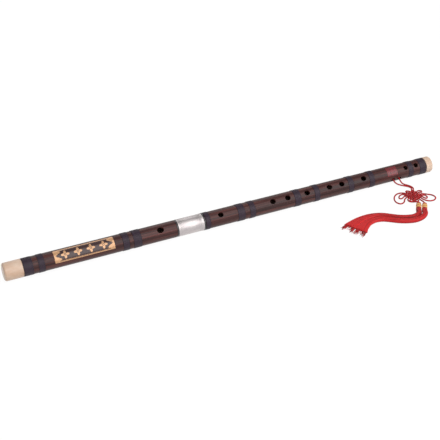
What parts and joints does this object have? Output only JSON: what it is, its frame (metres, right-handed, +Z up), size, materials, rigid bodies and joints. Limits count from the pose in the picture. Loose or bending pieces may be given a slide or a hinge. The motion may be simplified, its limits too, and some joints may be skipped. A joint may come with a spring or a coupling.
{
  "type": "dizi",
  "caption": "Side-blown bamboo flute in two sections with a sliding metal joint, thread bindings, pale end caps and a knotted silk tassel lying beside it.",
  "frame": {"origin": "midway between the flute's two ends, under its axis, on the surface it lies on", "axes": "+X along the flute from the head end to the foot end, +Z up, the tassel on the -Y side"},
  "size_m": [0.665, 0.1249, 0.0254],
  "materials": {
    "bamboo": "lacquered",
    "thread": "lacquered thread",
    "bone": "satin",
    "horn": "polished",
    "nickel": "polished",
    "cork": "raw",
    "silk": "silk",
    "gold": "metallic thread"
  },
  "bodies": {
    "foot_section": {"foot_tube": "bamboo", "foot_joint_ring": "horn", "foot_binding_1": "thread", "foot_binding_2": "thread", "foot_binding_3": "thread", "foot_binding_4": "thread", "foot_binding_5": "thread", "foot_binding_6": "thread", "foot_binding_7": "thread", "foot_binding_8": "thread", "foot_binding_9": "thread", "foot_end_cap": "bone", "joint_tenon": "nickel", "hanging_cord_1": "silk", "hanging_cord_2": "silk", "knot_cord_1": "silk", "knot_cord_2": "silk", "tassel_cap_1": "silk", "tassel_cap_2": "silk", "tassel_band_1a": "gold", "tassel_band_1b": "gold", "tassel_band_2a": "gold", "tassel_band_2b": "gold", "tassel_skirt_1": "silk", "tassel_skirt_2": "silk"},
    "sleeve": {"joint_sleeve": "nickel"},
    "head_section": {"head_tube": "bamboo", "head_end_cap": "bone", "stopper_cork": "cork", "head_binding_1": "thread", "head_binding_2": "thread", "head_binding_3": "thread", "head_binding_4": "thread", "head_joint_ring": "horn"}
  },
  "joints": [
    {"name": "joint_slide", "type": "slide", "parent": "foot_section", "child": "sleeve", "axis": [-1, 0, 0], "range_m": [0, 0.045]},
    {"name": "head_turn", "type": "hinge", "parent": "sleeve", "child": "head_section", "pos_m": [-0.0765, 0, 0.01269], "axis": [1, 0, 0], "continuous": true}
  ]
}
